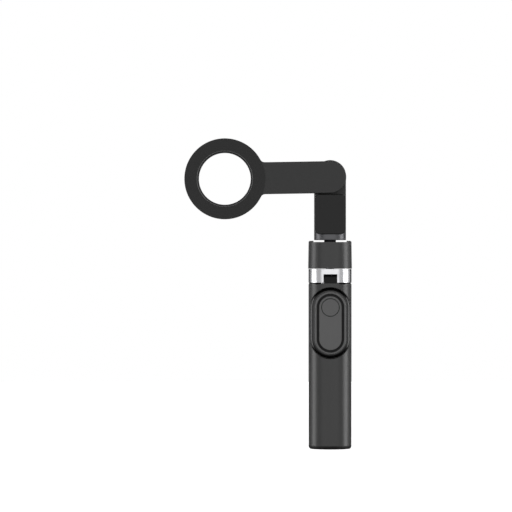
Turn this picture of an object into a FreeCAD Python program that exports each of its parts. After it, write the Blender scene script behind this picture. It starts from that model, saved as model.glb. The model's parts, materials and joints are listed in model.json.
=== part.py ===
import FreeCAD, Part
import os
import re

import Sketcher

# Phone gimbal on a tripod handle, in millimetres. The origin is the middle of the closed handle's foot.
# +Z points up the handle, -Y is the front, where the remote and the phone's magnetic ring face, and the
# arm reaches out along -X.

DIMENSIONS = [
    # handle and legs
    ("handle_radius", 16.4, "closed handle, outside"),
    ("foot_height", 2.6, "rubber foot, bottom to top"),
    ("foot_corner", 2.2, "rounding of the foot's lower edge"),
    ("leg_length", 123.3, "leg shell above its foot"),
    ("leg_skin", 2.0, "outer wall of a leg"),
    ("leg_end_wall", 3.0, "solid at the top and bottom of a leg"),
    ("leg_inner_radius", 9.0, "inner edge of a leg's side webs"),
    ("leg_web_angle", 9.0, "side web of a leg, in degrees"),
    ("front_leg_angle", 65.0, "front leg, each side of its middle, in degrees"),
    ("leg_seam_angle", 0.75, "half of the gap between two legs, in degrees"),
    ("leg_pitch", 120.0, "angle between two leg hinges, in degrees"),
    # hub
    ("hub_gap", 0.7, "legs' top edge to the chrome ring"),
    ("chrome_proud", 0.1, "chrome ring outside the closed handle"),
    ("chrome_wall", 1.0, "chrome ring wall"),
    ("chrome_height", 10.3, "chrome ring, bottom to top"),
    ("ring_fit", 0.05, "chrome ring over the hub core"),
    ("notch_width", 10.4, "hinge notch in the hub"),
    ("notch_height", 6.3, "hinge notch, up from the ring's lower edge"),
    ("notch_depth", 3.2, "hinge notch, from the pin in towards the axis"),
    ("hinge_rise", 3.4, "pin above the ring's lower edge"),
    ("hinge_inset", 3.5, "pin inside the closed handle's surface"),
    ("pin_radius", 1.0, "hinge pin"),
    ("pin_length", 13.0, "hinge pin"),
    ("pin_play", 0.05, "hinge pin in the knuckle, radial"),
    ("knuckle_radius", 2.7, "knuckle around the pin"),
    ("knuckle_play", 0.3, "knuckle beside the notch wall"),
    ("leg_swing_radius", 4.7, "relief in the leg's top around the pin"),
    # pocket and remote
    ("remote_drop", 30.0, "middle of the remote below the legs' top edge"),
    ("remote_half_straight", 11.9, "middle of the remote to the centre of an end"),
    ("skirt_rounding", 2.9, "rounding of the skirt's front edge"),
    ("skirt_thickness", 4.4, "remote's back to the skirt's front edge"),
    ("skirt_width", 3.0, "skirt around the remote's raised rim"),
    ("rim_width", 1.5, "remote's raised rim, outside edge to groove"),
    ("groove_width", 1.9, "groove in the remote's face"),
    ("groove_depth", 1.1, "groove in the remote's face"),
    ("remote_wall", 1.3, "side wall of the remote's back shell"),
    ("remote_back_wall", 1.0, "back wall of the remote's back shell"),
    ("remote_room", 0.1, "play in front of the coin cell and behind it"),
    ("remote_board_fit", 0.3, "remote's board inside its side wall"),
    ("remote_thickness", 9.4, "remote, back to front"),
    ("face_thickness", 2.2, "remote's front plate"),
    ("rim_rounding", 0.8, "rounding of the front plate's edge"),
    ("button_margin", 1.8, "shutter button inside the groove"),
    ("button_play", 0.25, "shutter button in its hole, radial"),
    ("button_thickness", 1.5, "shutter button"),
    ("stem_radius", 2.0, "shutter button's stem"),
    ("stem_length", 1.2, "shutter button's stem"),
    ("press_gap", 0.6, "stem to dome, and power button to switch"),
    ("dome_radius", 3.0, "dome switch"),
    ("dome_height", 0.7, "dome switch"),
    ("board_thickness", 0.8, "circuit boards"),
    ("cell_radius", 10.0, "coin cell"),
    ("cell_play", 0.6, "coin cell inside the remote's side wall"),
    ("cell_thickness", 3.2, "coin cell"),
    ("pocket_gap", 0.5, "pocket wall around the skirt"),
    ("pocket_play", 0.3, "pocket floor behind the remote"),
    ("pocket_clearance", 0.5, "pocket floor in front of the outermost tube"),
    ("pocket_floor", 1.0, "pocket floor thickness"),
    ("pocket_wall", 1.4, "wall around the pocket"),
    # telescopic pole
    ("tube_radius", 6.0, "outermost tube, outside"),
    ("tube_wall", 0.5, "wall of each tube"),
    ("tube_step", 1.0, "each tube's radius under the last"),
    ("tube_play", 0.05, "bush against the tube that it slides on, radial"),
    ("tube_bottom", 8.0, "outermost tube's lower end"),
    ("tube_stagger", 3.0, "each tube's lower end above the last"),
    ("bush_height", 8.0, "slide and mouth bushes"),
    # collar
    ("collar_gap", 0.3, "collar above the chrome ring"),
    ("collar_height", 21.2, "collar"),
    ("collar_proud", 0.3, "collar's lower edge outside the closed handle"),
    ("collar_taper", 0.35, "collar's radius, lower edge less upper edge"),
    ("collar_wall", 1.8, "collar wall"),
    ("collar_deck", 2.0, "collar's top wall"),
    ("collar_rounding", 1.0, "rounding of the collar's upper edge"),
    ("channel_width", 25.6, "shallow channel across the collar's top"),
    ("channel_depth", 1.0, "shallow channel across the collar's top"),
    ("floor_thickness", 2.5, "collar's floor plate"),
    ("floor_fit", 0.2, "floor plate inside the collar wall"),
    ("socket_wall", 1.8, "wall of the socket that holds the pole"),
    ("socket_depth", 3.0, "pole's end inside the collar floor's socket"),
    ("boss_radius", 2.2, "screw boss in the collar"),
    ("boss_inset", 3.9, "screw boss's middle inside the collar's lower edge"),
    ("boss_height", 9.8, "screw boss above the floor plate"),
    ("screw_radius", 0.9, "small self-tapping screws"),
    ("screw_head_radius", 1.7, "small screws' heads"),
    ("screw_head_height", 1.2, "small screws' heads"),
    ("screw_length", 6.0, "small screws under the head"),
    ("battery_width", 19.6, "battery across"),
    ("battery_depth", 16.0, "battery, front to back"),
    ("battery_height", 6.4, "battery"),
    ("battery_front", 10.4, "battery's front face from the axis"),
    ("battery_rise", 5.7, "battery above the collar's lower edge"),
    ("board_rise", 13.1, "control board above the collar's lower edge"),
    ("board_fit", 0.35, "control board inside the collar wall"),
    ("usb_width", 8.94, "charging socket"),
    ("usb_height", 3.16, "charging socket"),
    ("usb_depth", 7.3, "charging socket"),
    ("usb_wall", 0.35, "charging socket's metal wall"),
    ("usb_play", 0.2, "collar wall around the charging socket"),
    ("usb_recess", 0.3, "charging socket's mouth behind the collar's surface"),
    ("power_rise", 6.2, "power button above the collar's lower edge"),
    ("power_radius", 2.8, "power button"),
    ("power_play", 0.15, "power button in its hole, radial"),
    ("power_proud", 0.5, "power button in front of the collar's surface"),
    ("power_length", 3.8, "power button"),
    ("power_flange", 0.5, "power button's flange, radius and thickness"),
    ("switch_size", 6.0, "power switch, width and height"),
    ("switch_depth", 3.4, "power switch, front to back"),
    # neck and pan motor
    ("neck_radius", 4.5, "neck shaft"),
    ("neck_bore", 2.0, "wire hole through the neck shaft"),
    ("neck_flange_radius", 8.0, "neck shaft's flange"),
    ("neck_flange_height", 2.6, "neck shaft's flange"),
    ("housing_gap", 0.5, "motor housing above the collar's upper edge"),
    ("housing_radius", 12.15, "motor housing, outside"),
    ("housing_floor", 1.5, "motor housing's lower wall"),
    ("housing_wall", 1.55, "motor housing's side wall"),
    ("housing_height", 19.3, "motor housing"),
    ("housing_edge", 0.4, "rounding of the motor housing's lower edge"),
    ("neck_clearance", 0.6, "hole in the motor housing around the neck"),
    ("bearing_radius", 8.5, "pan bearings, outside"),
    ("bearing_height", 4.0, "pan bearings"),
    ("bearing_play", 0.05, "neck shaft in its bearings, radial"),
    ("stator_height", 5.6, "pan stator"),
    ("stator_gap", 0.7, "pan stator above and below"),
    ("air_gap", 0.35, "pan stator inside its magnets"),
    ("stator_yoke", 1.5, "pan stator between the neck and its slots"),
    ("slot_width", 1.6, "pan stator's winding slots"),
    ("slot_count", 9, "pan stator's winding slots"),
    ("pan_magnet_wall", 1.65, "pan magnets, wall"),
    ("cap_height", 5.0, "motor cap"),
    # upright
    ("upright_seam", 0.2, "gap between the motor housing and the upright's shell"),
    ("pivot_rise", 47.8, "arm's pivot above the motor housing's lower edge"),
    ("crown_rise", 0.9, "centre of the upright's round top above the pivot"),
    ("lap_gap", 0.3, "upright's front face behind the arm"),
    ("upright_wall", 2.7, "wall that the pivot bolt passes through"),
    ("works_wall", 3.55, "upright's wall around the chamber behind the pivot"),
    ("rear_cap_thickness", 1.5, "cap behind the pivot"),
    ("rear_cap_fit", 0.1, "rear cap in its hole, radial"),
    ("cover_inset", 0.35, "front cover's sides inside the motor housing's"),
    ("cover_rise", 4.3, "front cover above the motor housing's lower edge"),
    ("arm_clearance", 1.0, "arm's underside above the front cover"),
    ("cover_side", 3.0, "front cover's rear edge from the axis"),
    ("cover_fit", 0.05, "front cover over the motor housing"),
    ("cover_lower_corner", 4.3, "front cover's lower corners"),
    ("cover_upper_corner", 3.0, "front cover's upper corners"),
    ("cover_edge", 0.7, "rounding of the front cover's face edge"),
    # arm and magnetic ring
    ("arm_proud", 0.85, "arm's front face in front of the motor housing"),
    ("arm_thickness", 8.0, "arm, front to back"),
    ("arm_fit", 0.05, "arm's half width inside the upright's"),
    ("arm_reach", 80.1, "pivot to the middle of the magnetic ring"),
    ("arm_droop", 0.93, "arm below level, in degrees"),
    ("arm_edge", 0.5, "rounding of the arm's edges"),
    ("ring_radius", 30.7, "magnetic ring, outside"),
    ("ring_hole", 19.7, "magnetic ring's hole"),
    ("ring_blend", 3.6, "fillet between the arm and the ring"),
    ("arm_wall", 1.6, "arm's side wall"),
    ("arm_face_wall", 1.0, "arm's front wall"),
    ("arm_cover_thickness", 1.4, "arm's back cover"),
    ("arm_cover_fit", 0.1, "back cover inside the arm's wall"),
    ("pad_thickness", 0.6, "soft pad on the magnetic ring"),
    ("pad_margin", 0.15, "soft pad inside the ring's outline"),
    ("pad_bevel", 1.2, "bevel of the soft pad's inner edge"),
    ("pad_edge", 0.2, "thickness of the soft pad at its inner edge"),
    ("magnet_middle", 25.3, "middle of the ring magnets' width from the ring's centre"),
    ("magnet_width", 4.2, "ring magnets, across the ring"),
    ("magnet_thickness", 1.8, "ring magnets"),
    ("magnet_count", 16, "ring magnets"),
    ("magnet_space", 1.5, "gap between two ring magnets, in degrees"),
    ("shunt_margin", 0.4, "steel ring beyond the magnets"),
    ("shunt_thickness", 0.6, "steel ring behind the magnets"),
    ("bolt_radius", 3.0, "pivot bolt"),
    ("bolt_head_radius", 4.5, "pivot bolt's head"),
    ("bolt_head_height", 2.0, "pivot bolt's head"),
    ("bolt_play", 0.05, "pivot bolt in the upright, radial"),
    ("bolt_boss_radius", 6.0, "boss around the pivot bolt"),
    ("bolt_tip", 2.75, "pivot bolt's end behind its nut"),
    ("washer_radius", 7.0, "friction washers"),
    ("spring_washer_radius", 6.0, "spring washers"),
    ("washer_thickness", 0.9, "rear friction washer and spring washers"),
    ("washer_gap", 0.05, "friction washers against the upright"),
    ("nut_across_flats", 8.0, "pivot nut"),
    ("nut_height", 3.6, "pivot nut"),
    ("post_radius", 2.3, "screw posts in the arm"),
    ("post_first", 15.0, "first screw post from the pivot"),
    ("post_second", 44.0, "second screw post from the pivot"),
]

# sizes and places that follow from those above, each one worked out in the sheet
FORMULAS = {
    # radii and distances from the axis
    "chrome_radius": "handle_radius + chrome_proud",
    "hinge_radius": "handle_radius - hinge_inset",
    "collar_base_radius": "handle_radius + collar_proud",
    "collar_top_radius": "collar_base_radius - collar_taper",
    "collar_face": "collar_base_radius - collar_proud",
    "boss_offset": "collar_base_radius - boss_inset",
    "board_radius": "collar_top_radius - collar_wall - board_fit",
    # the remote, from its back to its front, in front of the axis
    "remote_back": "tube_radius + pocket_clearance + pocket_floor + pocket_play",
    "pocket_face": "remote_back - pocket_play",
    "remote_front": "remote_back + remote_thickness",
    "face_back": "remote_front - face_thickness",
    "groove_back": "remote_front - groove_depth",
    "button_back": "remote_front - button_thickness",
    "skirt_front": "remote_back + skirt_thickness",
    "remote_inside": "remote_back + remote_back_wall",
    "board_back": "remote_inside + cell_thickness + 2 * remote_room",
    "dome_back": "board_back + board_thickness",
    "rim_radius": "cell_radius + cell_play + remote_wall",
    "skirt_radius": "rim_radius + skirt_width",
    "groove_outer": "rim_radius - rim_width",
    "groove_inner": "groove_outer - groove_width",
    "button_radius": "groove_inner - button_margin",
    "pocket_radius": "skirt_radius + pocket_gap",
    # pan motor
    "housing_bore": "housing_radius - housing_wall",
    "magnet_radius": "housing_bore - pan_magnet_wall",
    "stator_radius": "magnet_radius - air_gap",
    # upright and arm, in front of the axis, and what is behind the upright's wall
    "arm_front": "housing_radius + arm_proud",
    "arm_back": "arm_front - arm_thickness",
    "lap_face": "arm_back - lap_gap",
    "arm_inside": "arm_front - arm_face_wall",
    "works_radius": "housing_radius - works_wall",
    "wall_back": "upright_wall - lap_face",
    "rear_washer": "wall_back + washer_gap",
    "spring_place": "rear_washer + washer_thickness",
    "nut_place": "spring_place + washer_thickness",
    "bolt_end": "nut_place + nut_height + bolt_tip",
    "arm_half_width": "housing_radius - arm_fit",
    "magnet_inner": "magnet_middle - magnet_width / 2",
    "magnet_outer": "magnet_middle + magnet_width / 2",
    # heights above the foot
    "leg_top": "foot_height + leg_length",
    "remote_middle": "leg_top - remote_drop",
    "shutter_height": "remote_middle + remote_half_straight",
    "ring_bottom": "leg_top + hub_gap",
    "ring_top": "ring_bottom + chrome_height",
    "hinge_height": "ring_bottom + hinge_rise",
    "collar_bottom": "ring_top + collar_gap",
    "collar_top": "collar_bottom + collar_height",
    "deck_bottom": "collar_top - channel_depth - collar_deck",
    "usb_middle": "collar_bottom + board_rise - usb_height / 2",
    "power_height": "collar_bottom + power_rise",
    "housing_bottom": "collar_top + housing_gap",
    "housing_top": "housing_bottom + housing_height",
    "lower_bearing": "housing_bottom + housing_floor",
    "stator_bottom": "lower_bearing + bearing_height + stator_gap",
    "cap_bottom": "stator_bottom + stator_height + stator_gap",
    "pivot_height": "housing_bottom + pivot_rise",
    "cover_bottom": "housing_bottom + cover_rise",
    "cover_top": "pivot_height - arm_half_width - arm_clearance",
    "shell_bottom": "housing_top + upright_seam",
    "crown_height": "pivot_height + crown_rise",
}

BEYOND = 50.0  # a cutting tool's reach past the solid that it cuts
NEAR = 0.02  # how close an edge lies to the place that names it

# where each leg starts and finishes, in degrees from its own hinge
FRONT_LEG = ("leg_seam_angle - front_leg_angle", "front_leg_angle - leg_seam_angle")
RIGHT_LEG = ("front_leg_angle - leg_pitch + leg_seam_angle", "180 - leg_pitch - leg_seam_angle")
LEFT_LEG = ("leg_pitch - 180 + leg_seam_angle", "leg_pitch - front_leg_angle - leg_seam_angle")

UP = FreeCAD.Rotation()
FRONT = FreeCAD.Rotation(FreeCAD.Vector(1, 0, 0), 90)
BACK = FreeCAD.Rotation(FreeCAD.Vector(1, 0, 0), -90)
RIGHT = FreeCAD.Rotation(FreeCAD.Vector(0, 1, 0), 90)

doc = FreeCAD.newDocument("phone_gimbal")
sheet = doc.addObject("Spreadsheet::Sheet", "Sizes")
rows = [(alias, str(size), meaning) for alias, size, meaning in DIMENSIONS]
rows += [(alias, f"={text}", "from the sizes above") for alias, text in FORMULAS.items()]
for row, (alias, content, meaning) in enumerate(rows, start=1):
    sheet.set(f"A{row}", alias)
    sheet.set(f"B{row}", content)
    sheet.set(f"C{row}", meaning)
    sheet.setAlias(f"B{row}", alias)
doc.recompute()

ALIASES = {alias for alias, content, meaning in rows}


# ---- tools

def formula(text):
    """Point every size that a formula names at its cell of the sheet."""
    return re.sub(r"[a-z_]+", lambda word: f"Sizes.{word[0]}" if word[0] in ALIASES else word[0], str(text))


def value(text):
    """A formula's value now."""
    return float(sheet.evalExpression(formula(text)))


def bind(solid, **sizes):
    for size, text in sizes.items():
        solid.setExpression(size, formula(text))
    return solid


def put(solid, place=(0, 0, 0), facing=UP):
    """Bind a solid's place. Its own +Z then points the way that facing says."""
    solid.Placement = FreeCAD.Placement(FreeCAD.Vector(), facing)
    for along, text in zip("xyz", place):
        solid.setExpression(f".Placement.Base.{along}", formula(text))
    return solid


def turn(solid, axis, angle):
    """Bind a solid's turn about the origin, in degrees."""
    solid.Placement = FreeCAD.Placement(FreeCAD.Vector(), FreeCAD.Rotation(FreeCAD.Vector(*axis), 1))
    solid.setExpression(".Placement.Rotation.Angle", formula(angle))
    return solid


def block(x, y, z):
    """A box between two places along each axis."""
    box = doc.addObject("Part::Box", "Block")
    bind(box, Length=f"{x[1]} - ({x[0]})", Width=f"{y[1]} - ({y[0]})", Height=f"{z[1]} - ({z[0]})")
    return put(box, (x[0], y[0], z[0]))


def rod(radius, length, place=(0, 0, 0), facing=UP):
    return put(bind(doc.addObject("Part::Cylinder", "Rod"), Radius=radius, Height=length), place, facing)


def wedge(radius, low, height, start, finish):
    """A sector of a cylinder between two angles from the front."""
    sector = bind(doc.addObject("Part::Cylinder", "Wedge"), Radius=radius, Height=height,
                  Angle=f"{finish} - ({start})")
    turn(sector, (0, 0, 1), f"{start} - 90")
    sector.setExpression(".Placement.Base.z", formula(low))
    return sector


def fuse(*solids):
    joined = doc.addObject("Part::MultiFuse", "Fuse")
    joined.Shapes = list(solids)
    joined.Refine = True
    return joined


def cut(base, *tools):
    result = doc.addObject("Part::Cut", "Cut")
    result.Base = base
    result.Tool = tools[0] if len(tools) == 1 else fuse(*tools)
    result.Refine = True
    return result


def common(base, tool):
    result = doc.addObject("Part::Common", "Common")
    result.Base = base
    result.Tool = tool
    return result


def group(*solids):
    """Several separate solids as one object."""
    held = doc.addObject("Part::Compound", "Group")
    held.Links = list(solids)
    return held


def tube(outer, inner, length, place=(0, 0, 0), facing=UP):
    return cut(rod(outer, length, place, facing), rod(inner, length, place, facing))


def around(solid, count, step):
    """Copies of a solid about the vertical axis."""
    return group(*[turn(group(solid), (0, 0, 1), f"{i} * ({step})") for i in range(count)])


def lathe(points, angle="360"):
    """A body turned about +Z from an outline of (radius, height) formulas, centred on +X."""
    body = doc.addObject("PartDesign::Body", "Turned")
    plane = next(side for side in body.Origin.OriginFeatures if side.Role == "XZ_Plane")
    sketch = body.newObject("Sketcher::SketchObject", "Outline")
    sketch.AttachmentSupport = [(plane, "")]
    sketch.MapMode = "FlatFace"
    corners = [FreeCAD.Vector(value(r), value(z), 0) for r, z in points]
    for i, corner in enumerate(corners):
        sketch.addGeometry(Part.LineSegment(corner, corners[(i + 1) % len(corners)]))
    for i, corner in enumerate(corners):
        sketch.addConstraint(Sketcher.Constraint("Coincident", i, 2, (i + 1) % len(corners), 1))
    for i, (r, z) in enumerate(points):
        for kind, text in (("DistanceX", r), ("DistanceY", z)):
            size = sketch.addConstraint(Sketcher.Constraint(kind, -1, 1, i, 1, value(text)))
            sketch.setExpression(f"Constraints[{size}]", formula(text))
    turned = body.newObject("PartDesign::Revolution", "Turn")
    turned.Profile = sketch
    turned.ReferenceAxis = (sketch, ["V_Axis"])
    turned.Midplane = True
    bind(turned, Angle=angle)
    return body


def rounded(solid, *steps):
    """Fillet a solid's edges. Each step is a radius and the test that picks its edges."""
    if solid.TypeId == "PartDesign::Body":
        body = solid
    else:
        body = doc.addObject("PartDesign::Body", "Rounded")
        body.BaseFeature = solid
    for radius, picks in steps:
        doc.recompute()
        base = body.Tip
        names = [f"Edge{i}" for i, edge in enumerate(base.Shape.Edges, start=1) if picks(edge)]
        fillet = body.newObject("PartDesign::Fillet", "Fillet")
        fillet.Base = (base, names)
        bind(fillet, Radius=radius)
    return body


def edge_at(**ranges):
    """A test for edges that lie wholly at a place along each axis given, such as z=("low", "high")."""
    limits = {along: (value(low), value(high)) for along, (low, high) in ranges.items()}

    def lies_there(edge):
        box = edge.BoundBox
        spans = {"x": (box.XMin, box.XMax), "y": (box.YMin, box.YMax), "z": (box.ZMin, box.ZMax)}
        return all(spans[along][0] > low - NEAR and spans[along][1] < high + NEAR
                   for along, (low, high) in limits.items())
    return lies_there


def circle_of(radius, along, place):
    """A test for round edges of one radius at one place along an axis."""
    wanted = value(radius)
    spot = value(place)

    def is_it(edge):
        round_edge = hasattr(edge.Curve, "Radius") and abs(edge.Curve.Radius - wanted) < NEAR
        return round_edge and abs(getattr(edge.CenterOfMass, along) - spot) < NEAR
    return is_it


# ---- shapes that several pieces share

def stadium(radius, back, front):
    """The remote's outline, from one distance in front of the axis to another."""
    length = f"{front} - ({back})"
    ends = [rod(radius, length, (0, f"-({back})", f"remote_middle {sign} remote_half_straight"), FRONT)
            for sign in "+-"]
    middle = block((f"-({radius})", radius), (f"-({front})", f"-({back})"),
                   ("remote_middle - remote_half_straight", "remote_middle + remote_half_straight"))
    return fuse(middle, *ends)


def arm_outline(inset, back, front):
    """The arm, its round end and the magnetic ring's disc about the pivot, drawn in by an inset."""
    half = f"(arm_half_width - {inset})"
    length = f"{front} - ({back})"
    bar = block(("-arm_reach", "0"), (f"-({front})", f"-({back})"), (f"-{half}", half))
    end = rod(half, length, (0, f"-({back})", 0), FRONT)
    disc = rod(f"ring_radius - {inset}", length, ("-arm_reach", f"-({back})", 0), FRONT)
    return fuse(bar, end, disc)


def on_arm(solid):
    """Carry a solid from the pivot at the origin to the arm's place."""
    turn(solid, (0, 1, 0), "-arm_droop")
    solid.setExpression(".Placement.Base.z", formula("pivot_height"))
    return solid


def screw(place, facing):
    """A small screw whose head's outer face is at the place, and which points the way that facing says."""
    screw_shank = rod("screw_radius", "screw_head_height + screw_length", place, facing)
    return fuse(screw_shank, rod("screw_head_radius", "screw_head_height", place, facing))


def hinge_notches():
    half = "notch_width / 2"
    notch = block((f"-{half}", half), (f"-(hinge_radius + {BEYOND})", "-(hinge_radius - notch_depth)"),
                  (f"ring_bottom - {BEYOND}", "ring_bottom + notch_height"))
    return around(notch, 3, "leg_pitch")


# ---- hub

def chrome_ring():
    ring = tube("chrome_radius", "chrome_radius - chrome_wall", "chrome_height", (0, 0, "ring_bottom"))
    return cut(ring, hinge_notches())


def hinge_pins():
    pin = rod("pin_radius", "pin_length", ("-pin_length / 2", "-hinge_radius", "hinge_height"), RIGHT)
    return around(pin, 3, "leg_pitch")


def hub_core():
    core = rod("chrome_radius - chrome_wall - ring_fit", "chrome_height", (0, 0, "ring_bottom"))
    bore = rod("tube_radius", "chrome_height", (0, 0, "ring_bottom"))
    return cut(core, hinge_notches(), hinge_pins(), bore)


# ---- telescopic pole: stage 0 is the outermost tube, stage 3 the innermost

def stage_radius(stage):
    return f"(tube_radius - {stage} * tube_step)"


def stage_bottom(stage):
    return f"(tube_bottom + {stage} * tube_stagger)"


def pole_tube(stage, top="ring_top"):
    outer = stage_radius(stage)
    low = stage_bottom(stage)
    return tube(outer, f"{outer} - tube_wall", f"{top} - {low}", (0, 0, low))


def mouth_bush(stage):
    """The bush in a tube's mouth, which guides the next tube."""
    inner = f"{stage_radius(stage + 1)} + tube_play"
    return tube(f"{stage_radius(stage)} - tube_wall", inner, "bush_height", (0, 0, "ring_top - bush_height"))


def slide_bush(stage):
    """The bush around a tube's lower end, which slides in the tube outside it."""
    outer = f"{stage_radius(stage - 1)} - tube_wall - tube_play"
    return tube(outer, stage_radius(stage), "bush_height", (0, 0, stage_bottom(stage)))


# ---- legs

def swing_relief():
    """The room that a leg's top needs to turn about its pin."""
    return rod("leg_swing_radius", 2 * BEYOND, (-BEYOND, "-hinge_radius", "hinge_height"), RIGHT)


def leg_shell(start, finish):
    """A leg's outer wall, side webs and ends, without its knuckle, between two angles from its hinge."""
    solid = wedge("handle_radius", "foot_height", "leg_length", start, finish)
    inside = wedge("handle_radius - leg_skin", "foot_height + leg_end_wall", "leg_length - 2 * leg_end_wall",
                   f"{start} + leg_web_angle", f"{finish} - leg_web_angle")
    middle = rod("leg_inner_radius", "leg_length", (0, 0, "foot_height"))
    return cut(solid, inside, middle, swing_relief())


def with_knuckle(shell):
    half = "(notch_width / 2 - knuckle_play)"
    barrel = rod("knuckle_radius", f"2 * {half}", (f"-{half}", "-hinge_radius", "hinge_height"), RIGHT)
    tongue = block((f"-{half}", half),
                   ("-(hinge_radius + knuckle_radius)", "knuckle_radius - hinge_radius"),
                   ("leg_top - leg_end_wall", "hinge_height"))
    bore = rod("pin_radius + pin_play", 2 * BEYOND, (-BEYOND, "-hinge_radius", "hinge_height"), RIGHT)
    return cut(fuse(shell, barrel, tongue), bore)

def front_leg():
    """The front leg, with the pocket that holds the remote."""
    outside = wedge("handle_radius", "foot_height", "leg_length", *FRONT_LEG)
    beyond_leg = f"handle_radius + {BEYOND}"
    tray = common(outside, stadium("pocket_radius + pocket_wall", "pocket_face - pocket_floor", beyond_leg))
    pocket = stadium("pocket_radius", "pocket_face", beyond_leg)
    return with_knuckle(cut(fuse(leg_shell(*FRONT_LEG), tray), pocket, swing_relief()))


def rear_leg(side, span):
    return turn(with_knuckle(leg_shell(*span)), (0, 0, 1), f"{side} * leg_pitch")


def foot(side, span):
    """A leg's rubber foot."""
    start, finish = span
    outline = [("leg_inner_radius", "0"), ("handle_radius", "0"), ("handle_radius", "foot_height"),
               ("leg_inner_radius", "foot_height")]
    pad = rounded(lathe(outline, f"{finish} - ({start})"),
                  ("foot_corner", circle_of("handle_radius", "z", "0")))
    return turn(pad, (0, 0, 1), f"({start} + {finish}) / 2 - 90 + {side} * leg_pitch")


# ---- remote

def remote_case():
    skirt = rounded(stadium("skirt_radius", "remote_back", "skirt_front"),
                    ("skirt_rounding", edge_at(y=("-skirt_front", "-skirt_front"))))
    rim = stadium("rim_radius", "skirt_front", "face_back")
    inside = stadium("rim_radius - remote_wall", "remote_inside", "face_back")
    return cut(fuse(skirt, rim), inside)


def remote_face():
    plate = rounded(stadium("rim_radius", "face_back", "remote_front"),
                    ("rim_rounding", edge_at(y=("-remote_front", "-remote_front"))))
    groove = cut(stadium("groove_outer", "groove_back", "remote_front"),
                 stadium("groove_inner", "groove_back", "remote_front"))
    hole = rod("button_radius + button_play", 2 * BEYOND, (0, BEYOND, "shutter_height"), FRONT)
    return cut(plate, groove, hole)


def shutter_button():
    cap = rod("button_radius", "button_thickness", (0, "-button_back", "shutter_height"), FRONT)
    stem = rod("stem_radius", "stem_length", (0, "stem_length - button_back", "shutter_height"), FRONT)
    return fuse(cap, stem)


def dome_switch():
    return rod("dome_radius", "dome_height", (0, "-dome_back", "shutter_height"), FRONT)


def remote_board():
    return stadium("rim_radius - remote_wall - remote_board_fit", "board_back", "dome_back")


def coin_cell():
    return rod("cell_radius", "cell_thickness", (0, "-(remote_inside + remote_room)", "remote_middle"), FRONT)


# ---- head base: the collar, its electronics and the neck

def collar_shell():
    inner_low = "collar_base_radius - collar_wall"
    inner_high = "collar_top_radius - collar_wall"
    outline = [("collar_base_radius", "collar_bottom"), ("collar_top_radius", "collar_top"),
               ("neck_radius", "collar_top"), ("neck_radius", "deck_bottom"), (inner_high, "deck_bottom"),
               (inner_low, "collar_bottom")]
    shell = rounded(lathe(outline), ("collar_rounding", circle_of("collar_top_radius", "z", "collar_top")))
    boss_z = "(collar_bottom + floor_thickness)"
    bosses = [rod("boss_radius", "boss_height", (f"{side} * boss_offset", 0, boss_z)) for side in (-1, 1)]
    channel = block(("-channel_width / 2", "channel_width / 2"), (-BEYOND, BEYOND),
                    ("collar_top - channel_depth", f"collar_top + {BEYOND}"))
    socket_hole = socket_outline("usb_play", "0", BEYOND)
    button_hole = rod("power_radius + power_play", BEYOND, (0, 0, "power_height"), BACK)
    return cut(fuse(shell, *bosses), channel, socket_hole, button_hole, *collar_screw_set())


def collar_screw_set():
    return [screw((f"{side} * boss_offset", 0, "collar_bottom"), UP) for side in (-1, 1)]


def collar_screws():
    return group(*collar_screw_set())


def collar_floor():
    plate = rod("collar_base_radius - collar_wall - floor_fit", "floor_thickness", (0, 0, "collar_bottom"))
    socket = rod(f"{stage_radius(3)} + socket_wall", "socket_depth + socket_wall", (0, 0, "collar_bottom"))
    hole = rod(stage_radius(3), "socket_depth", (0, 0, "collar_bottom"))
    return cut(fuse(plate, socket), hole, *collar_screw_set())


def battery():
    low = "collar_bottom + battery_rise"
    return block(("-battery_width / 2", "battery_width / 2"),
                 ("-battery_front", "battery_depth - battery_front"),
                 (low, f"{low} + battery_height"))


def control_board():
    return rod("board_radius", "board_thickness", (0, 0, "collar_bottom + board_rise"))


def socket_outline(margin, front, back):
    """The charging socket's round-ended outline, grown by a margin, between two places behind the axis."""
    radius = f"(usb_height / 2 + {margin})"
    centre = "(usb_width - usb_height) / 2"
    middle = block((f"-{centre}", centre), (front, back),
                   (f"usb_middle - {radius}", f"usb_middle + {radius}"))
    ends = [rod(radius, f"{back} - ({front})", (f"{side} * {centre}", front, "usb_middle"), BACK)
            for side in (-1, 1)]
    return fuse(middle, *ends)


def usb_port():
    mouth = "(collar_face - usb_recess)"
    shell = socket_outline("0", f"{mouth} - usb_depth", mouth)
    room = socket_outline("(-usb_wall)", f"{mouth} - usb_depth + usb_wall", BEYOND)
    return cut(shell, room)


def power_button():
    inner_end = (0, "collar_face + power_proud - power_length", "power_height")
    cap = rod("power_radius", "power_length", inner_end, BACK)
    return fuse(cap, rod("power_radius + power_flange", "power_flange", inner_end, BACK))


def power_switch():
    front = "(collar_face + power_proud - power_length - press_gap)"
    return block(("-switch_size / 2", "switch_size / 2"), (f"{front} - switch_depth", front),
                 ("collar_bottom + floor_thickness", "collar_bottom + floor_thickness + switch_size"))


def neck_shaft():
    """The hollow shaft that stands on the collar's deck, with its flange below the deck."""
    low = "deck_bottom - neck_flange_height"
    outline = [("neck_bore", low), ("neck_flange_radius", low), ("neck_flange_radius", "deck_bottom"),
               ("neck_radius", "deck_bottom"), ("neck_radius", "cap_bottom + bearing_height"),
               ("neck_bore", "cap_bottom + bearing_height")]
    return lathe(outline)


def pan_stator():
    """The stator's core on the neck shaft, with its teeth between the winding slots."""
    core = tube("stator_radius", "neck_radius", "stator_height", (0, 0, "stator_bottom"))
    slot = block(("neck_radius + stator_yoke", BEYOND), ("-slot_width / 2", "slot_width / 2"),
                 ("stator_bottom", "stator_bottom + stator_height"))
    return cut(core, around(slot, int(value("slot_count")), "360 / slot_count"))


# ---- upright

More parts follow.
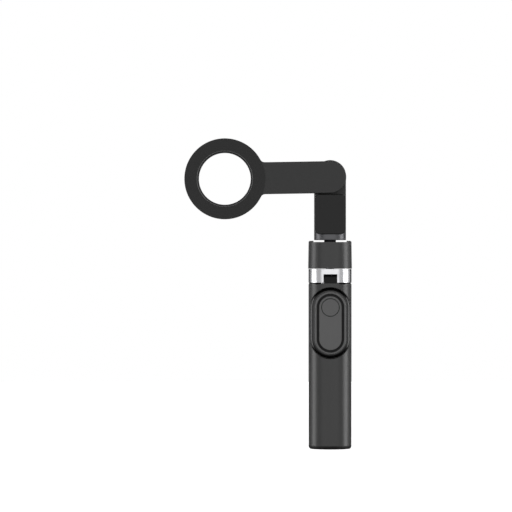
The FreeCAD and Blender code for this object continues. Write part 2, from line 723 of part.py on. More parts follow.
def motor_housing():
    """The round can of the pan motor, with the lower bearing's seat in its floor."""
    bearing_top = "lower_bearing + bearing_height"
    outline = [("neck_radius + neck_clearance", "housing_bottom"), ("housing_radius", "housing_bottom"),
               ("housing_radius", "housing_top"), ("housing_bore", "housing_top"),
               ("housing_bore", bearing_top), ("bearing_radius", bearing_top),
               ("bearing_radius", "lower_bearing"), ("neck_radius + neck_clearance", "lower_bearing")]
    return rounded(lathe(outline), ("housing_edge", circle_of("housing_radius", "z", "housing_bottom")))


def bearing(low):
    return tube("bearing_radius", "neck_radius + bearing_play", "bearing_height", (0, 0, low))


def pan_magnets():
    return tube("housing_bore", "magnet_radius", "stator_height", (0, 0, "stator_bottom"))


def motor_cap():
    """The cap pressed into the housing's bore, with the upper bearing's seat."""
    cap = rod("housing_bore", "cap_height", (0, 0, "cap_bottom"))
    seat = rod("bearing_radius", "bearing_height", (0, 0, "cap_bottom"))
    wire_hole = rod("neck_bore", "cap_height", (0, 0, "cap_bottom"))
    return cut(cap, seat, wire_hole)


def upright_shell():
    """The round-topped upper part, flat at the front where the arm laps it, with a chamber behind."""
    column = rod("housing_radius", "crown_height + housing_radius - shell_bottom", (0, 0, "shell_bottom"))
    sides = block(("-housing_radius", "housing_radius"), (-BEYOND, BEYOND), ("shell_bottom", "crown_height"))
    outline = fuse(sides, rod("housing_radius", 2 * BEYOND, (0, BEYOND, "crown_height"), FRONT))
    lap = block((-BEYOND, BEYOND), (-BEYOND, "-lap_face"),
                ("cover_top + cover_fit", f"crown_height + {BEYOND}"))
    works = rod("works_radius", BEYOND, (0, "wall_back", "pivot_height"), BACK)
    bolt_hole = rod("bolt_radius + bolt_play", 2 * BEYOND, (0, BEYOND, "pivot_height"), FRONT)
    return cut(common(column, outline), lap, works, bolt_hole)


def rear_cap():
    """The cap over the chamber, flush with the round back of the upright."""
    disc = rod("works_radius - rear_cap_fit", BEYOND, (0, "0", "pivot_height"), BACK)
    skin = tube("housing_radius", "housing_radius - rear_cap_thickness", 2 * BEYOND,
                (0, 0, f"pivot_height - {BEYOND}"))
    return common(disc, skin)


def front_cover():
    """The cover plate in front of the motor housing, hollowed to fit its round wall."""
    half = "(housing_radius - cover_inset)"
    plate = block((f"-{half}", half), ("-arm_front", "-cover_side"), ("cover_bottom", "cover_top"))
    plate = cut(plate, rod("housing_radius + cover_fit", 2 * BEYOND, (0, 0, f"cover_bottom - {BEYOND}")))
    lower = edge_at(z=("cover_bottom", "cover_bottom"))
    upper = edge_at(z=("cover_top", "cover_top"))
    return rounded(plate,
                   ("cover_lower_corner", lambda edge: lower(edge) and runs_along_y(edge)),
                   ("cover_upper_corner", lambda edge: upper(edge) and runs_along_y(edge)),
                   ("cover_edge", edge_at(y=("-arm_front", "-arm_front"))))


def runs_along_y(edge):
    box = edge.BoundBox
    return box.YLength > max(box.XLength, box.ZLength) + NEAR


# ---- arm: built with its pivot at the origin, then carried to its place

def screw_posts(radius, back, front):
    return [rod(radius, f"{front} - ({back})", (f"-{place}", f"-({back})", 0), FRONT)
            for place in ("post_first", "post_second")]


def arm_screw_set():
    return [screw((f"-{place}", "-arm_back", 0), FRONT) for place in ("post_first", "post_second")]


def pivot_bolt_solid():
    shaft = rod("bolt_radius", "arm_inside + bolt_end", (0, "bolt_end", 0), FRONT)
    head = rod("bolt_head_radius", "bolt_head_height", (0, "bolt_head_height - arm_inside", 0), FRONT)
    return fuse(shaft, head)


def arm_frame():
    """The arm and the ring in one piece, hollow from behind."""
    corner = "sqrt(ring_radius ^ 2 - arm_half_width ^ 2) - arm_reach"
    joint = edge_at(x=(corner, corner))
    outside = rounded(arm_outline("0", "arm_back", "arm_front"),
                      ("ring_blend", lambda edge: runs_along_y(edge) and joint(edge)),
                      ("arm_edge", edge_at(y=("-arm_front", "-arm_front"))))
    room = cut(arm_outline("arm_wall", f"arm_back - {BEYOND}", "arm_inside"),
               rod("ring_hole + arm_wall", 2 * BEYOND, ("-arm_reach", BEYOND, 0), FRONT),
               rod("bolt_boss_radius", 2 * BEYOND, (0, BEYOND, 0), FRONT),
               *screw_posts("post_radius", "arm_back + arm_cover_thickness", "arm_front"))
    hole = rod("ring_hole", 2 * BEYOND, ("-arm_reach", BEYOND, 0), FRONT)
    return on_arm(cut(outside, room, hole, pivot_bolt_solid(), *arm_screw_set()))


def arm_back_cover():
    inset = "(arm_wall + arm_cover_fit)"
    plate = arm_outline(inset, "arm_back", "arm_back + arm_cover_thickness")
    hole = rod(f"ring_hole + {inset}", 2 * BEYOND, ("-arm_reach", BEYOND, 0), FRONT)
    boss = rod("bolt_boss_radius + arm_cover_fit", 2 * BEYOND, (0, BEYOND, 0), FRONT)
    return on_arm(cut(plate, hole, boss, *arm_screw_set()))


def arm_screws():
    return on_arm(group(*arm_screw_set()))


def ring_pad():
    """The soft pad on the ring's face, bevelled at its inner edge."""
    outer = "ring_radius - pad_margin"
    inner = "ring_hole + pad_margin"
    pad = tube(outer, inner, "pad_thickness", ("-arm_reach", "-arm_front", 0), FRONT)
    cone = bind(doc.addObject("Part::Cone", "Bevel"), Radius1=inner, Radius2=f"{inner} + pad_bevel",
                Height="pad_thickness - pad_edge")
    put(cone, ("-arm_reach", "-(arm_front + pad_edge)", 0), FRONT)
    return on_arm(cut(pad, cone))


def magnet_segments():
    """The ring's magnets, separate blocks around the ring."""
    pitch = "360 / magnet_count"
    magnets = []
    for i in range(int(value("magnet_count"))):
        blank = wedge("magnet_outer", "0", "magnet_thickness",
                      f"{i} * {pitch}", f"{i + 1} * {pitch} - magnet_space")
        magnets.append(cut(blank, rod("magnet_inner", "magnet_thickness")))
    ring = put(group(*magnets), ("-arm_reach", "-(arm_inside - magnet_thickness)", 0), FRONT)
    return on_arm(group(ring))


def shunt_ring():
    back = "arm_inside - magnet_thickness - shunt_thickness"
    ring = tube("magnet_outer + shunt_margin", "magnet_inner - shunt_margin", "shunt_thickness",
                ("-arm_reach", f"-({back})", 0), FRONT)
    return on_arm(ring)


def pivot_bolt():
    return on_arm(pivot_bolt_solid())


def friction_washers():
    """One washer between the arm and the upright, and one behind the upright's wall."""
    front = tube("washer_radius", "bolt_radius", "arm_back - lap_face - washer_gap",
                 (0, "-lap_face - washer_gap", 0), FRONT)
    rear = tube("washer_radius", "bolt_radius", "washer_thickness", (0, "rear_washer", 0), BACK)
    return on_arm(group(front, rear))


def spring_washers():
    place = (0, "spring_place", 0)
    return on_arm(tube("spring_washer_radius", "bolt_radius", "washer_thickness", place, BACK))


def pivot_nut():
    nut = doc.addObject("Part::Prism", "Nut")
    nut.Polygon = 6
    bind(nut, Circumradius="nut_across_flats / 2 / cos(30)", Height="nut_height")
    put(nut, (0, "nut_place", 0), BACK)
    hole = rod("bolt_radius", 2 * BEYOND, (0, BEYOND, 0), FRONT)
    return on_arm(cut(nut, hole))


# ---- the assembly

PIECES = {
    "chrome_ring": chrome_ring,
    "hub_core": hub_core,
    "hinge_pins": hinge_pins,
    "outer_tube": lambda: pole_tube(0),
    "outer_mouth_bush": lambda: mouth_bush(0),
    "front_leg": front_leg,
    "left_leg": lambda: rear_leg(-1, LEFT_LEG),
    "right_leg": lambda: rear_leg(1, RIGHT_LEG),
    "front_foot": lambda: foot(0, FRONT_LEG),
    "left_foot": lambda: foot(-1, LEFT_LEG),
    "right_foot": lambda: foot(1, RIGHT_LEG),
    "remote_case": remote_case,
    "remote_face": remote_face,
    "shutter_button": shutter_button,
    "dome_switch": dome_switch,
    "remote_board": remote_board,
    "coin_cell": coin_cell,
    "second_tube": lambda: pole_tube(1),
    "second_slide_bush": lambda: slide_bush(1),
    "second_mouth_bush": lambda: mouth_bush(1),
    "third_tube": lambda: pole_tube(2),
    "third_slide_bush": lambda: slide_bush(2),
    "third_mouth_bush": lambda: mouth_bush(2),
    "top_tube": lambda: pole_tube(3, "(collar_bottom + socket_depth)"),
    "top_slide_bush": lambda: slide_bush(3),
    "collar_shell": collar_shell,
    "collar_floor": collar_floor,
    "collar_screws": collar_screws,
    "battery": battery,
    "control_board": control_board,
    "usb_port": usb_port,
    "power_button": power_button,
    "power_switch": power_switch,
    "neck_shaft": neck_shaft,
    "pan_stator": pan_stator,
    "motor_housing": motor_housing,
    "lower_bearing": lambda: bearing("lower_bearing"),
    "upper_bearing": lambda: bearing("cap_bottom"),
    "pan_magnets": pan_magnets,
    "motor_cap": motor_cap,
    "upright_shell": upright_shell,
    "front_cover": front_cover,
    "rear_cap": rear_cap,
    "arm_frame": arm_frame,
    "arm_back_cover": arm_back_cover,
    "arm_screws": arm_screws,
    "ring_pad": ring_pad,
    "magnet_segments": magnet_segments,
    "shunt_ring": shunt_ring,
    "pivot_bolt": pivot_bolt,
    "friction_washers": friction_washers,
    "spring_washers": spring_washers,
    "pivot_nut": pivot_nut,
}

subparts = []
for label, make in PIECES.items():
    piece = make()
    piece.Label = label
    subparts.append(piece)
doc.recompute()

for item in doc.Objects:
    if {"Invalid", "Error"} & set(item.State):
        raise RuntimeError(f"{item.Label} ({item.Name}) did not recompute: {item.State}")
for piece in subparts:
    if piece.Shape.isNull() or not piece.Shape.isValid():
        raise RuntimeError(f"{piece.Label} has no valid shape")

os.makedirs("parts", exist_ok=True)
for piece in subparts:
    piece.Shape.exportStep(os.path.join("parts", f"{piece.Label}.step"))
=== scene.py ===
import json
import math

import bpy
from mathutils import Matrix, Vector


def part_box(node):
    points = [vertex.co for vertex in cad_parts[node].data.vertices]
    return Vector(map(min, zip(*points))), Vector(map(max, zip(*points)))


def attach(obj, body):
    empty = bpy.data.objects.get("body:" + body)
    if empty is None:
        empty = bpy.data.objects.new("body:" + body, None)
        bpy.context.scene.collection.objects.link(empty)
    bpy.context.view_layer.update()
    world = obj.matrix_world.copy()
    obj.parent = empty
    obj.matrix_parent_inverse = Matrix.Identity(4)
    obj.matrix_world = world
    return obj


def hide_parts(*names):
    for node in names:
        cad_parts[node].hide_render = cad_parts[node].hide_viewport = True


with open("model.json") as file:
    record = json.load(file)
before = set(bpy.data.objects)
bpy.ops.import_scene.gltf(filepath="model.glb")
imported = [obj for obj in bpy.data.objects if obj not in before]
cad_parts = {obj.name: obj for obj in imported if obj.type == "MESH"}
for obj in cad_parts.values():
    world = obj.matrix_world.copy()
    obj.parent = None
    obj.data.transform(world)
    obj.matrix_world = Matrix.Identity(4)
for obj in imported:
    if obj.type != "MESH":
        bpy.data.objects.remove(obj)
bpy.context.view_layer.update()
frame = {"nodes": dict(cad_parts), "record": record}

# Phone gimbal on a tripod handle. Metres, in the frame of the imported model: the foot's middle is the origin,
# +Z goes up the handle and -Y is the front.

MM = 0.001
NODES = frame["nodes"]
BODY_OF = {node: body for body, nodes in frame["record"]["behaviour"]["bodies"].items() for node in nodes}


# ---- colours and nodes

def linear(code):
    """An sRGB hex colour as the linear colour that the shaders take."""
    parts = [int(code[i:i + 2], 16) / 255 for i in (1, 3, 5)]
    return tuple(c / 12.92 if c <= 0.04045 else ((c + 0.055) / 1.055) ** 2.4 for c in parts) + (1.0,)


def add(material, kind, sockets=(), **settings):
    """Add a node with its settings. A socket takes a plain value or another node's output."""
    made = material.node_tree.nodes.new(kind)
    for name, setting in settings.items():
        setattr(made, name, setting)
    for name, content in dict(sockets).items():
        if isinstance(content, bpy.types.NodeSocket):
            material.node_tree.links.new(content, made.inputs[name])
        else:
            made.inputs[name].default_value = content
    return made


def per_metre(size_mm):
    """The scale of a pattern whose features are this many millimetres wide."""
    return 1 / (size_mm * MM)


def surface(name, **sockets):
    """A new material with its shader. The sockets are the values that are the same all over."""
    material = bpy.data.materials.new(name)
    material.use_nodes = True
    shader = material.node_tree.nodes["Principled BSDF"]
    for socket, content in sockets.items():
        shader.inputs[socket.replace("_", " ")].default_value = content
    return material, shader


def wire(material, shader, **sockets):
    """Link other nodes' outputs to the shader."""
    for socket, output in sockets.items():
        material.node_tree.links.new(output, shader.inputs[socket.replace("_", " ")])


DRIFT_MM = 22.0  # how wide the patches of a moulded colour are
GLOSS_DRIFT = 0.04  # how far a moulded roughness moves from its middle
LINE_STRETCH = 0.02  # how much slower a metal's pattern runs along its lines than across them
NOISE_LOW, NOISE_HIGH = 0.3, 0.7  # nearly all of a noise lies between these


def patterned(material, shader, drift, pattern, colours, gloss_range, depth_mm):
    """Blend two close colours by one noise. The other noise sets the gloss and the relief."""
    tint = add(material, "ShaderNodeMix", {"Factor": drift.outputs["Fac"]}, data_type="RGBA")
    tint.inputs["A"].default_value = linear(colours[0])
    tint.inputs["B"].default_value = linear(colours[1])
    gloss = add(material, "ShaderNodeMapRange", {
        "Value": pattern.outputs["Fac"], "From Min": NOISE_LOW, "From Max": NOISE_HIGH,
        "To Min": gloss_range[0], "To Max": gloss_range[1]})
    relief = add(material, "ShaderNodeBump",
                 {"Height": pattern.outputs["Fac"], "Distance": depth_mm * MM, "Strength": 1.0})
    wire(material, shader, Base_Color=tint.outputs["Result"], Roughness=gloss.outputs["Result"],
         Normal=relief.outputs["Normal"])
    return material


def moulded(name, colour, shade, roughness, grain_mm, grain_depth_mm, **constant):
    """A moulded plastic or rubber: a colour that drifts a little, and the fine grain of an eroded mould."""
    material, shader = surface(name, **constant)
    place = add(material, "ShaderNodeTexCoord").outputs["Object"]
    drift = add(material, "ShaderNodeTexNoise",
                {"Vector": place, "Scale": per_metre(DRIFT_MM), "Detail": 3.0})
    grain = add(material, "ShaderNodeTexNoise",
                {"Vector": place, "Scale": per_metre(grain_mm), "Detail": 2.0, "Roughness": 0.6})
    gloss_range = (roughness - GLOSS_DRIFT, roughness + GLOSS_DRIFT)
    return patterned(material, shader, drift, grain, (colour, shade), gloss_range, grain_depth_mm)


def machined(name, colour, shade, roughness, line_mm, along, depth_mm=0.002, **constant):
    """A bare or plated metal with the fine lines of drawing, turning or polishing along the named axes."""
    material, shader = surface(name, Metallic=1.0, **constant)
    place = add(material, "ShaderNodeTexCoord").outputs["Object"]
    stretch = [per_metre(line_mm) * (LINE_STRETCH if axis in along else 1) for axis in "xyz"]
    lines_place = add(material, "ShaderNodeMapping", {"Vector": place, "Scale": stretch})
    lines = add(material, "ShaderNodeTexNoise",
                {"Vector": lines_place.outputs["Vector"], "Scale": 1.0, "Detail": 2.0})
    gloss_range = (roughness * 0.8, roughness * 1.2)
    return patterned(material, shader, lines, lines, (colour, shade), gloss_range, depth_mm)

# ---- materials

# chrome on moulded ABS: mirror bright, a trace of orange peel from the plating bath
chrome_plated_abs = machined("chrome_plated_abs", "#DADADC", "#D1D1D4", 0.22, 6.0, "", 0.004)
# black ABS shells out of a finely eroded mould: satin, with long soft highlights down the round sides
eroded_black_abs = moulded("eroded_black_abs", "#3D3D3D", "#3A3A3A", 0.31, 0.5, 0.004, IOR=1.42)
# glass-filled nylon of the hub: duller and darker than the shells. The same black is also painted shade in the
# remote's groove and on the shutter button's sides
glass_filled_nylon_and_painted_shade = moulded("glass_filled_nylon_and_painted_shade", "#101010", "#0D0D0D", 0.5, 0.6, 0.02, IOR=1.53,
                            Specular_IOR_Level=0.2)
# thermoplastic rubber of the feet: matt black with a slight sheen
moulded_rubber = moulded("moulded_rubber", "#141414", "#101010", 0.62, 0.7, 0.03, IOR=1.45)
# turned steel of pins, screws, nut and washers: lines round the turning axis, slightly grey
turned_steel = machined("turned_steel", "#B4B4B6", "#96969A", 0.28, 0.35, "x")
# the same steel blackened, for the neck that turns under the motor
blackened_steel = machined("blackened_steel", "#262628", "#1E1E20", 0.35, 0.35, "x")
# drawn aluminium tube, clear anodised: fine lines up the tube
drawn_aluminium = machined("drawn_aluminium", "#CDCED2", "#B9BABF", 0.26, 0.3, "z", 0.004)
# natural nylon bushes: milky off-white, waxy
natural_nylon = moulded("natural_nylon", "#D6D2C6", "#CBC6B8", 0.42, 0.8, 0.01, IOR=1.53,
                        Subsurface_Weight=0.15, Subsurface_Scale=0.001)
# dark grey ABS of the remote: the same satin grain as the handle, a lighter colour
eroded_grey_abs = moulded("eroded_grey_abs", "#686868", "#646464", 0.36, 0.5, 0.006, IOR=1.38)
# polished black ABS of the remote's sloping sides: it mirrors the lights beside it and the dark floor below
polished_black_abs = moulded("polished_black_abs", "#161616", "#141414", 0.2, 0.8, 0.004, IOR=1.5)
# stamped stainless can of the coin cell
stamped_stainless = machined("stamped_stainless", "#C9C8C4", "#B3B2AE", 0.22, 0.5, "x")
# glass-epoxy circuit board under green solder mask
solder_mask_board = moulded("solder_mask_board", "#1C6A34", "#185C2C", 0.28, 0.9, 0.012, IOR=1.52)
# shrink film round the battery: pale grey, glossy, slightly wavy
shrink_film = moulded("shrink_film", "#9BA1AC", "#8C929E", 0.2, 5.0, 0.06, IOR=1.55)
# black ABS of the power button
button_abs = moulded("button_abs", "#1E1E1E", "#1A1A1A", 0.34, 0.5, 0.006, IOR=1.38)
# dark nickel plating on the motor's turned can: glossy, with soft vertical reflections
dark_nickel_plating = machined("dark_nickel_plating", "#58585A", "#4C4C4E", 0.3, 0.4, "xy", 0.002,
                               Anisotropic=0.6)
# turned aluminium inside the motor
turned_aluminium = machined("turned_aluminium", "#BFC0C4", "#A9AAAF", 0.3, 0.3, "x")
# nickel on the magnets: warm bright metal
nickel_plating = machined("nickel_plating", "#C4BFB4", "#B2ADA2", 0.18, 1.2, "")
# polycarbonate and ABS blend of the arm and upright: satin, almost flat to the eye
eroded_pc_abs = moulded("eroded_pc_abs", "#363636", "#333333", 0.42, 0.5, 0.006, IOR=1.38)
# a painted highlight round the pad's inner edge: the same silicone, paler and smoother
painted_highlight_silicone = moulded("painted_highlight_silicone", "#6E6E6E", "#666666", 0.4, 0.6, 0.004, IOR=1.4)
# the front cover's darker blend
eroded_cover_pc_abs = moulded("eroded_cover_pc_abs", "#1A1A1A", "#181818", 0.42, 0.5, 0.006, IOR=1.36)
# silicone skin on the magnetic ring: soft and dull
silicone_skin = moulded("silicone_skin", "#2F2F2F", "#2C2C2C", 0.55, 0.6, 0.008, IOR=1.36)

SLOT_FINISH = {
    "chrome": chrome_plated_abs,
    "handle_plastic": eroded_black_abs,
    "hub_plastic": glass_filled_nylon_and_painted_shade,
    "foot_rubber": moulded_rubber,
    "steel": turned_steel,
    "tube_aluminium": drawn_aluminium,
    "nylon": natural_nylon,
    "remote_plastic": eroded_grey_abs,
    "cell_steel": stamped_stainless,
    "board": solder_mask_board,
    "battery_wrap": shrink_film,
    "button_plastic": button_abs,
    "housing_metal": dark_nickel_plating,
    "motor_aluminium": turned_aluminium,
    "magnet_nickel": nickel_plating,
    "arm_plastic": eroded_pc_abs,
    "cover_plastic": eroded_cover_pc_abs,
    "pad_silicone": silicone_skin,
}
SLOT_OF = {node: NODES[node].data.materials[0].name.split(".")[0] for node in NODES}


# ---- shaping

MERGE_DISTANCE = 0.001 * MM
FLAT_ANGLE, SMOOTH_ANGLE, EDGE_ANGLE = (math.radians(degrees) for degrees in (0.6, 28, 30))
UPRIGHT = (0, 0, 0)
ALONG_Y = (math.radians(90), 0, 0)


def only(obj):
    """Deselect everything, then select one object and make it active."""
    for other in bpy.context.selected_objects:
        other.select_set(False)
    bpy.context.view_layer.objects.active = obj
    obj.select_set(True)


def on_whole_mesh(obj, *steps):
    """Run operators, each with its settings, on the whole of one object's mesh in edit mode."""
    only(obj)
    bpy.ops.object.mode_set(mode="EDIT")
    bpy.ops.mesh.select_all(action="SELECT")
    for operator, settings in steps:
        operator(**settings)
    bpy.ops.object.mode_set(mode="OBJECT")


def smooth(obj):
    only(obj)
    bpy.ops.object.shade_smooth_by_angle(angle=SMOOTH_ANGLE)


def applied(obj, kind, **settings):
    only(obj)
    modifier = obj.modifiers.new(kind.lower(), kind)
    for name, setting in settings.items():
        setattr(modifier, name, setting)
    bpy.ops.object.modifier_apply(modifier=modifier.name)


def fitted(obj, body, slot, *replaced, finish=None):
    """Put a finished piece on its body, in its material, in place of the CAD nodes that it stands for."""
    obj.data.materials.clear()
    obj.data.materials.append(finish or SLOT_FINISH[slot])
    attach(obj, body)
    if replaced:
        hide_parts(*replaced)
    return obj


def copied(source, name):
    """A new object with a copy of another's mesh."""
    copy = bpy.data.objects.new(name, source.data.copy())
    bpy.context.scene.collection.objects.link(copy)
    return copy


def merged_copy(node):
    """A CAD node's shape as one closed mesh of whole faces, ready to shape further."""
    copy = copied(NODES[node], f"{node}_finished")
    on_whole_mesh(copy, (bpy.ops.mesh.remove_doubles, {"threshold": MERGE_DISTANCE}),
                  (bpy.ops.mesh.dissolve_limited, {"angle_limit": FLAT_ANGLE}))
    return copy


def moved_copy(piece, name, offset):
    """The same shape again, with a mesh of its own, somewhere else."""
    copy = copied(piece, name)
    on_whole_mesh(copy, (bpy.ops.transform.translate, {"value": offset}))
    return copy


def without_slivers(obj):
    """Close up the edges and faces that have no size."""
    on_whole_mesh(obj, (bpy.ops.mesh.dissolve_degenerate, {"threshold": MERGE_DISTANCE}))


def cut_level(piece, z):
    """Cut the faces of a piece along a level line, so that the two sides can have their own finishes."""
    on_whole_mesh(piece, (bpy.ops.mesh.bisect, {"plane_co": (0, 0, z), "plane_no": (0, 0, 1)}))


def eased(obj, edge_mm):
    """Round an object's sharp edges."""
    applied(obj, "BEVEL", width=edge_mm * MM, segments=2, limit_method="ANGLE",
            angle_limit=EDGE_ANGLE, miter_outer="MITER_ARC")
    without_slivers(obj)
    smooth(obj)
    applied(obj, "WEIGHTED_NORMAL", keep_sharp=True)


def primitive(name, operator, scale=(1, 1, 1), **settings):
    """Add a primitive and put its place, turn and scale into its mesh."""
    bpy.ops.object.select_all(action="DESELECT")
    operator(**settings)
    made = bpy.context.object
    made.name = name
    made.scale = scale
    bpy.ops.object.transform_apply(location=True, rotation=True, scale=True)
    return made


def rod(name, radius_mm, length_mm, middle, sides=48, turn=ALONG_Y):
    """A round bar about a middle point."""
    return primitive(name, bpy.ops.mesh.primitive_cylinder_add, vertices=sides, radius=radius_mm * MM,
                     depth=length_mm * MM, location=middle, rotation=turn)


def bar(name, size_mm, middle):
    """A square-edged block about a middle point."""
    return primitive(name, bpy.ops.mesh.primitive_cube_add, [side * MM for side in size_mm],
                     size=1, location=middle)


def combined(piece, tool, operation):
    """Cut a tool out of a piece, or weld it on. The tool is used up."""
    applied(piece, "BOOLEAN", operation=operation, object=tool, solver="EXACT")
    bpy.data.objects.remove(tool)


def second_finish(piece, material, belongs):
    """Give another material to the faces that a test picks by their corners and by the way they face."""
    piece.data.materials.append(material)
    points = piece.data.vertices
    for face in piece.data.polygons:
        if belongs([points[corner].co for corner in face.vertices], face.normal):
            face.material_index = 1


# ---- pieces that are the CAD shapes with rounded edges

EASED_EDGES = {
    # how far each part's own edges are rounded, in millimetres
    "chrome_ring": 0.25,
    "front_leg": 0.3,
    "left_leg": 0.3,
    "right_leg": 0.3,
    "remote_case": 0.15,
    "remote_face": 0.2,
    "collar_shell": 0.25,
    "shutter_button": 0.25,
    "neck_shaft": 0.2,
    "motor_housing": 0.15,
    "upright_shell": 0.3,
    "rear_cap": 0.2,
    "front_cover": 0.15,
    "arm_frame": 0.15,
    "arm_back_cover": 0.2,
}
OWN_FINISH = {
    # parts whose finish isn't their slot's
    "neck_shaft": blackened_steel,
    "remote_case": polished_black_abs,
}

remote_low, remote_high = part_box("remote_case")
face_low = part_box("remote_face")[0]
ring_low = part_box("chrome_ring")[0]
REMOTE_MIDDLE = (remote_low.z + remote_high.z) / 2
REMOTE_HALF_STRAIGHT = (remote_high.z - remote_low.z - remote_high.x + remote_low.x) / 2
GROOVE_INNER, GROOVE_OUTER = 8.45 * MM, 10.6 * MM  # from the line through the remote's round ends
FACE_EDGE_DEPTH = 0.2 * MM
LEG_TOP = ring_low.z - 0.5 * MM  # the legs are black above this height
CUT_TOLERANCE = 0.01 * MM
STRAIGHT_AHEAD = -0.99  # faces whose normal goes further than this along Y look to the front


def from_end_line(spot):
    """How far a point lies from the line through the remote's two round ends, seen from the front."""
    past_end = max(abs(spot.z - REMOTE_MIDDLE) - REMOTE_HALF_STRAIGHT, 0)
    return math.hypot(spot.x, past_end)


pieces = {}
for node, edge_mm in EASED_EDGES.items():
    piece = merged_copy(node)
    if node.endswith("_leg"):
        cut_level(piece, LEG_TOP)
    eased(piece, edge_mm)
    pieces[node] = fitted(piece, BODY_OF[node], SLOT_OF[node], node, finish=OWN_FINISH.get(node))
for node in NODES:
    NODES[node].data.materials[0] = SLOT_FINISH[SLOT_OF[node]]

# the hinge knuckle on each leg is a black nylon insert
for node in ("front_leg", "left_leg", "right_leg"):
    second_finish(pieces[node], glass_filled_nylon_and_painted_shade, lambda corners, facing:
                  all(corner.z > LEG_TOP - CUT_TOLERANCE for corner in corners))
# painted shade in the groove round the remote's face: its faces are given the hub's black
second_finish(pieces["remote_face"], glass_filled_nylon_and_painted_shade, lambda corners, facing:
              all(GROOVE_INNER < from_end_line(corner) < GROOVE_OUTER for corner in corners)
              and min(corner.y for corner in corners) > face_low.y + FACE_EDGE_DEPTH)
# painted shade in the gap round the shutter button: its sides and rounded edge are given the hub's black too
second_finish(pieces["shutter_button"], glass_filled_nylon_and_painted_shade, lambda corners, facing:
              facing.y > STRAIGHT_AHEAD)


# ---- pieces with detail of their own, in millimetres

# two cross-head screws in the arm's back, sunk a little in their holes
HEAD_RADIUS, HEAD_HEIGHT, SUNK = 1.65, 1.2, 0.12
CROSS_LENGTH, CROSS_WIDTH, CROSS_DEPTH = 2.1, 0.5, 0.6
SHANK_RADIUS, SHANK_IN_HEAD = 0.9, 0.2
SCREW_INSET = 1.7  # a screw's middle, from the sides of the box round both
screws_low, screws_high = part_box("arm_screws")
head_back = screws_high.y - SUNK * MM
near_x, near_z = screws_high.x - SCREW_INSET * MM, screws_high.z - SCREW_INSET * MM
far_x, far_z = screws_low.x + SCREW_INSET * MM, screws_low.z + SCREW_INSET * MM
screw = rod("arm_screw_near", HEAD_RADIUS, HEAD_HEIGHT, (near_x, head_back - HEAD_HEIGHT / 2 * MM, near_z))
for across, up in ((CROSS_LENGTH, CROSS_WIDTH), (CROSS_WIDTH, CROSS_LENGTH)):
    slit = bar("recess", (across, 2 * CROSS_DEPTH, up), (near_x, head_back, near_z))
    combined(screw, slit, "DIFFERENCE")
shank_length = (head_back - screws_low.y) / MM - HEAD_HEIGHT + SHANK_IN_HEAD
shank_middle = (near_x, screws_low.y + shank_length / 2 * MM, near_z)
combined(screw, rod("shank", SHANK_RADIUS, shank_length, shank_middle, sides=24), "UNION")
eased(screw, 0.1)
far_screw = moved_copy(screw, "arm_screw_far", (far_x - near_x, 0, far_z - near_z))
for each in (screw, far_screw):
    fitted(each, "arm", "steel", "arm_screws")

# ring-shaped treads in the soles of the feet
TREAD_RADII, TREAD_HALF_WIDTH, TREAD_DEPTH = (9.6, 11.6, 13.6), 0.4, 0.5
SOLE_MIDDLE = (0, 0, 0)
for node in ("front_foot", "left_foot", "right_foot"):
    foot = merged_copy(node)
    for radius_mm in TREAD_RADII:
        tread = rod("tread", radius_mm + TREAD_HALF_WIDTH, 2 * TREAD_DEPTH, SOLE_MIDDLE, 96, UPRIGHT)
        core = rod("tread_core", radius_mm - TREAD_HALF_WIDTH, 4 * TREAD_DEPTH, SOLE_MIDDLE, 96, UPRIGHT)
        combined(tread, core, "DIFFERENCE")
        combined(foot, tread, "DIFFERENCE")
    without_slivers(foot)
    smooth(foot)
    fitted(foot, BODY_OF[node], "foot_rubber", node)

# the tongue in the charging socket
TONGUE_SIZE, TONGUE_EDGE = (6.6, 5.6, 0.7), 0.15
TONGUE_INSET = 3.6  # its middle, from the socket's mouth
port_low, port_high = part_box("usb_port")
tongue = bar("usb_tongue", TONGUE_SIZE,
             (0, port_high.y - TONGUE_INSET * MM, (port_low.z + port_high.z) / 2))
applied(tongue, "BEVEL", width=TONGUE_EDGE * MM, segments=2)
smooth(tongue)
fitted(tongue, "head", "hub_plastic")

# a shallow dish for the finger in the power button
FINGERTIP_RADIUS, DISH_DEPTH = 12, 0.3
power_low, power_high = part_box("power_button")
power_button = merged_copy("power_button")
fingertip = primitive(
    "fingertip", bpy.ops.mesh.primitive_uv_sphere_add, segments=96, ring_count=48,
    radius=FINGERTIP_RADIUS * MM,
    location=(0, power_high.y + (FINGERTIP_RADIUS - DISH_DEPTH) * MM, (power_low.z + power_high.z) / 2))
combined(power_button, fingertip, "DIFFERENCE")
eased(power_button, 0.15)
fitted(power_button, "power", "button_plastic", "power_button")

# a painted highlight round the pad's inner edge: a thin bead of the silicone, coloured paler than the pad
LINE_RADIUS, LINE_HALF_WIDTH = 21.1, 0.24
pad_low, pad_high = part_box("ring_pad")
line = primitive(
    "pad_inner_painted_highlight", bpy.ops.mesh.primitive_torus_add,
    major_radius=LINE_RADIUS * MM, minor_radius=LINE_HALF_WIDTH * MM, major_segments=96, minor_segments=12,
    location=((pad_low.x + pad_high.x) / 2, pad_low.y, (pad_low.z + pad_high.z) / 2), rotation=ALONG_Y)
smooth(line)
fitted(line, "arm", "pad_silicone", finish=painted_highlight_silicone)


# ---- studio, in metres and watts

black_card = surface("black_card", Base_Color=linear("#141414"), Roughness=1.0)[0]


def panel(name, place, target, width, height, power):
    """A soft rectangular light that faces a point."""
    data = bpy.data.lights.new(name, "AREA")
    data.shape = "RECTANGLE"
    data.size, data.size_y, data.energy = width, height, power
    light = bpy.data.objects.new(name, data)
    light.location = place
    light.rotation_euler = (Vector(target) - Vector(place)).to_track_quat("-Z", "Y").to_euler()
    light.visible_camera = False
    bpy.context.scene.collection.objects.link(light)
    return light


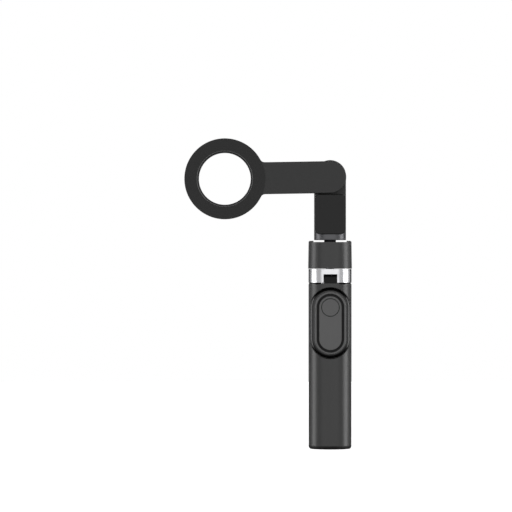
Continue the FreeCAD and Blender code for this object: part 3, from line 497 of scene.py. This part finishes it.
def flag(name, place, width, height):
    """A black card that only reflections see. It keeps the edges of round and shiny parts dark."""
    bpy.ops.mesh.primitive_plane_add(size=1, location=place)
    card = bpy.context.object
    card.name = name
    card.rotation_euler = (Vector((0, 0, place[2])) - Vector(place)).to_track_quat("Z", "Y").to_euler()
    card.scale = (width, height, 1)
    card.data.materials.append(black_card)
    card.visible_camera = card.visible_diffuse = card.visible_shadow = False


HANDLE_MIDDLE = (0, 0, 0.13)
panel("front_softbox", place=(0.0, -1.7, 0.35), target=HANDLE_MIDDLE, width=4.0, height=1.4, power=13)
panel("left_strip", place=(-1.5, 0.14, 0.15), target=HANDLE_MIDDLE, width=0.7, height=1.6, power=10)
panel("right_strip", place=(1.5, 0.04, 0.15), target=HANDLE_MIDDLE, width=0.7, height=1.6, power=13)
panel("back_softbox", place=(0.0, 2.1, 0.9), target=HANDLE_MIDDLE, width=1.5, height=1.2, power=10)
overhead = panel("overhead", place=(0.0, 0.2, 2.4), target=(0, 0, 0), width=3.0, height=3.0, power=28)
overhead.visible_glossy = False
flag("left_flag", place=(-1.0, 1.2, 0.15), width=0.6, height=2.0)
flag("right_flag", place=(1.0, 1.2, 0.15), width=0.6, height=2.0)

# the studio's walls: white to the eye, dimmer as a light, and brightest level with the object
WALL_LIGHT, CEILING_LIGHT = 0.55, 0.06
WALL_ENDS, CEILING_STARTS = 0.2, 0.6  # how steeply a direction goes up or down, from 0 to 1
world = bpy.data.worlds.new("studio")
bpy.context.scene.world = world
world.use_nodes = True
way = add(world, "ShaderNodeTexCoord").outputs["Generated"]
steep = add(world, "ShaderNodeSeparateXYZ", {"Vector": way}).outputs["Z"]
steepness = add(world, "ShaderNodeMath", {0: steep}, operation="ABSOLUTE").outputs["Value"]
dimmed = add(world, "ShaderNodeMapRange", {
    "Value": steepness, "From Min": WALL_ENDS, "From Max": CEILING_STARTS,
    "To Min": WALL_LIGHT, "To Max": CEILING_LIGHT}).outputs["Result"]
seen = add(world, "ShaderNodeLightPath").outputs["Is Camera Ray"]
level = add(world, "ShaderNodeMix", {"Factor": seen, "A": dimmed, "B": 1.0}).outputs["Result"]
background = world.node_tree.nodes["Background"]
background.inputs["Color"].default_value = (1, 1, 1, 1)
wire(world, background, Strength=level)
bpy.context.scene.view_settings.view_transform = "Standard"

# the floor: bright paper from above, and clear from below
FLOOR_RADIUS, FLOOR_GLOW = 1.6, 0.74
bpy.ops.mesh.primitive_circle_add(vertices=96, radius=FLOOR_RADIUS, fill_type="NGON")
floor = bpy.context.object
floor.name = "floor"
paper, paper_shader = surface("pale_paper", Base_Color=linear("#F4F4F4"), Roughness=0.9,
                              Emission_Color=(1, 1, 1, 1), Emission_Strength=FLOOR_GLOW)
from_below = add(paper, "ShaderNodeNewGeometry").outputs["Backfacing"]
from_above = add(paper, "ShaderNodeMath", {0: 1.0, 1: from_below}, operation="SUBTRACT").outputs["Value"]
wire(paper, paper_shader, Alpha=from_above)
floor.data.materials.append(paper)
floor.visible_glossy = False
floor.visible_diffuse = False

CAMERA_X, CAMERA_DISTANCE, CAMERA_HEIGHT = -0.0564, 3.0, 0.1468
FRAME_WIDTH = 0.3901  # of what the camera takes in, level with the object
camera_data = bpy.data.cameras.new("camera")
camera_data.sensor_width = 36.0
camera_data.lens = camera_data.sensor_width * CAMERA_DISTANCE / FRAME_WIDTH
camera_data.clip_end = 50.0
camera = bpy.data.objects.new("camera", camera_data)
camera.location = (CAMERA_X, -CAMERA_DISTANCE, CAMERA_HEIGHT)
camera.rotation_euler = ALONG_Y
bpy.context.scene.collection.objects.link(camera)
bpy.context.scene.camera = camera
